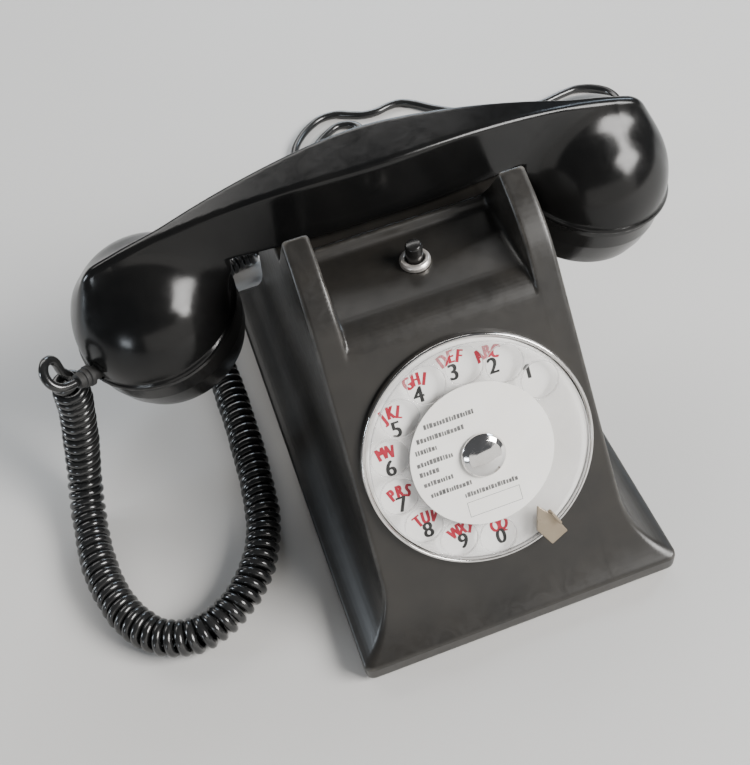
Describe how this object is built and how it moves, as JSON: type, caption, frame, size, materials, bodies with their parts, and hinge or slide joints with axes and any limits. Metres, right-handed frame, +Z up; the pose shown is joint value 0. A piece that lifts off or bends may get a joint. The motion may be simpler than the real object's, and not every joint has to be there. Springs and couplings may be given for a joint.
{
  "type": "rotary dial telephone",
  "caption": "Desk telephone with a sloping front, rotary dial, push button and a handset on a curly cord.",
  "frame": {"origin": "on the table, under the middle of the whole", "axes": "+Z up, -Y the front with the dial, +X to the right, along the handset"},
  "size_m": [0.3105, 0.3049, 0.1289],
  "materials": {
    "bakelite": "satin gloss, fine wear at the edges",
    "handset_gloss": "polished",
    "black_trim": "moulded",
    "bright_plate": "polished plate",
    "nickel": "worn nickel plate",
    "enamel": "white with printed figures",
    "clear": "clear moulding",
    "card": "paper card under a clear film",
    "steel": "zinc plated",
    "brass": "plain",
    "black_rubber": "matt",
    "cord": "glossy flexible sheath",
    "plug": "moulded",
    "copper": "enamelled winding",
    "laminate": "laminated insulation"
  },
  "bodies": {
    "case": {"base_plate": "steel", "base_screw_front": "steel", "base_screw_rear": "steel", "body_shell": "bakelite", "button_collar": "bright_plate", "button_contacts": "laminate", "button_nut": "nickel", "button_spring": "steel", "capacitor": "steel", "clapper_pivot": "steel", "dial_bezel": "bright_plate", "dial_case": "steel", "finger_stop": "nickel", "foot_front_left": "black_rubber", "foot_front_right": "black_rubber", "foot_rear_left": "black_rubber", "foot_rear_right": "black_rubber", "gong_left": "brass", "gong_right": "brass", "governor_cup": "steel", "handset_cord": "cord", "handset_cord_gland": "black_rubber", "induction_coil": "copper", "line_cord_coil": "cord", "line_cord_gland": "black_rubber", "line_cord_run": "cord", "line_cord_tail": "cord", "line_plug": "plug", "number_plate": "enamel", "plunger_spring": "steel", "pulse_contacts": "laminate", "return_spring": "steel", "ringer_coil_left": "copper", "ringer_coil_right": "copper", "ringer_frame": "steel", "switch_bridge": "steel", "switch_contacts": "laminate", "terminal_block": "laminate"},
    "dial_wheel": {"finger_wheel": "clear", "dial_card": "card", "centre_cap": "bright_plate", "dial_shaft": "steel", "main_gear": "brass", "pulse_cam": "laminate"},
    "governor": {"governor_spindle": "brass"},
    "handset": {"handset_shell": "handset_gloss", "mouthpiece_cap": "handset_gloss", "earpiece_cap": "handset_gloss", "mouthpiece_capsule": "steel", "earpiece_capsule": "steel", "handset_gland": "black_rubber", "handset_cord_tail": "cord"},
    "cradle_switch": {"cradle_plunger_left": "black_trim", "cradle_plunger_right": "black_trim", "plunger_yoke": "steel"},
    "button": {"push_button": "black_trim"},
    "bell_clapper": {"clapper": "steel"}
  },
  "joints": [
    {"name": "dial_spin", "type": "hinge", "parent": "case", "child": "dial_wheel", "pos_m": [0.0036, -0.0568, 0.0588], "axis": [0, -0.8211, 0.5707], "range_deg": [-331, 0], "stiffness_Nm_per_rad": 0.01},
    {"name": "governor_spin", "type": "hinge", "parent": "case", "child": "governor", "pos_m": [-0.01619, -0.05028, 0.06818], "axis": [0, -0.8211, 0.5707], "range_deg": [-2, 1326]},
    {"name": "handset_lift", "type": "slide", "parent": "case", "child": "handset", "axis": [0, 0, 1], "range_m": [0, 0.075], "deforming": ["handset_cord"]},
    {"name": "plunger_slide", "type": "slide", "parent": "case", "child": "cradle_switch", "axis": [0, 0, 1], "range_m": [0, 0.0061], "deforming": ["plunger_spring"]},
    {"name": "button_press", "type": "slide", "parent": "case", "child": "button", "axis": [0, 0, -1], "range_m": [0, 0.003], "stiffness_N_per_m": 150, "deforming": ["button_spring"]},
    {"name": "clapper_swing", "type": "hinge", "parent": "case", "child": "bell_clapper", "pos_m": [0.0036, 0.026, 0.018], "axis": [0, 0, 1], "range_deg": [-2.5, 2.5], "stiffness_Nm_per_rad": 0.01}
  ],
  "couplings": [
    {"joint": "governor_spin", "follows": "dial_spin", "ratio": -4},
    {"joint": "plunger_slide", "follows": "handset_lift", "ratio": 0.08}
  ]
}
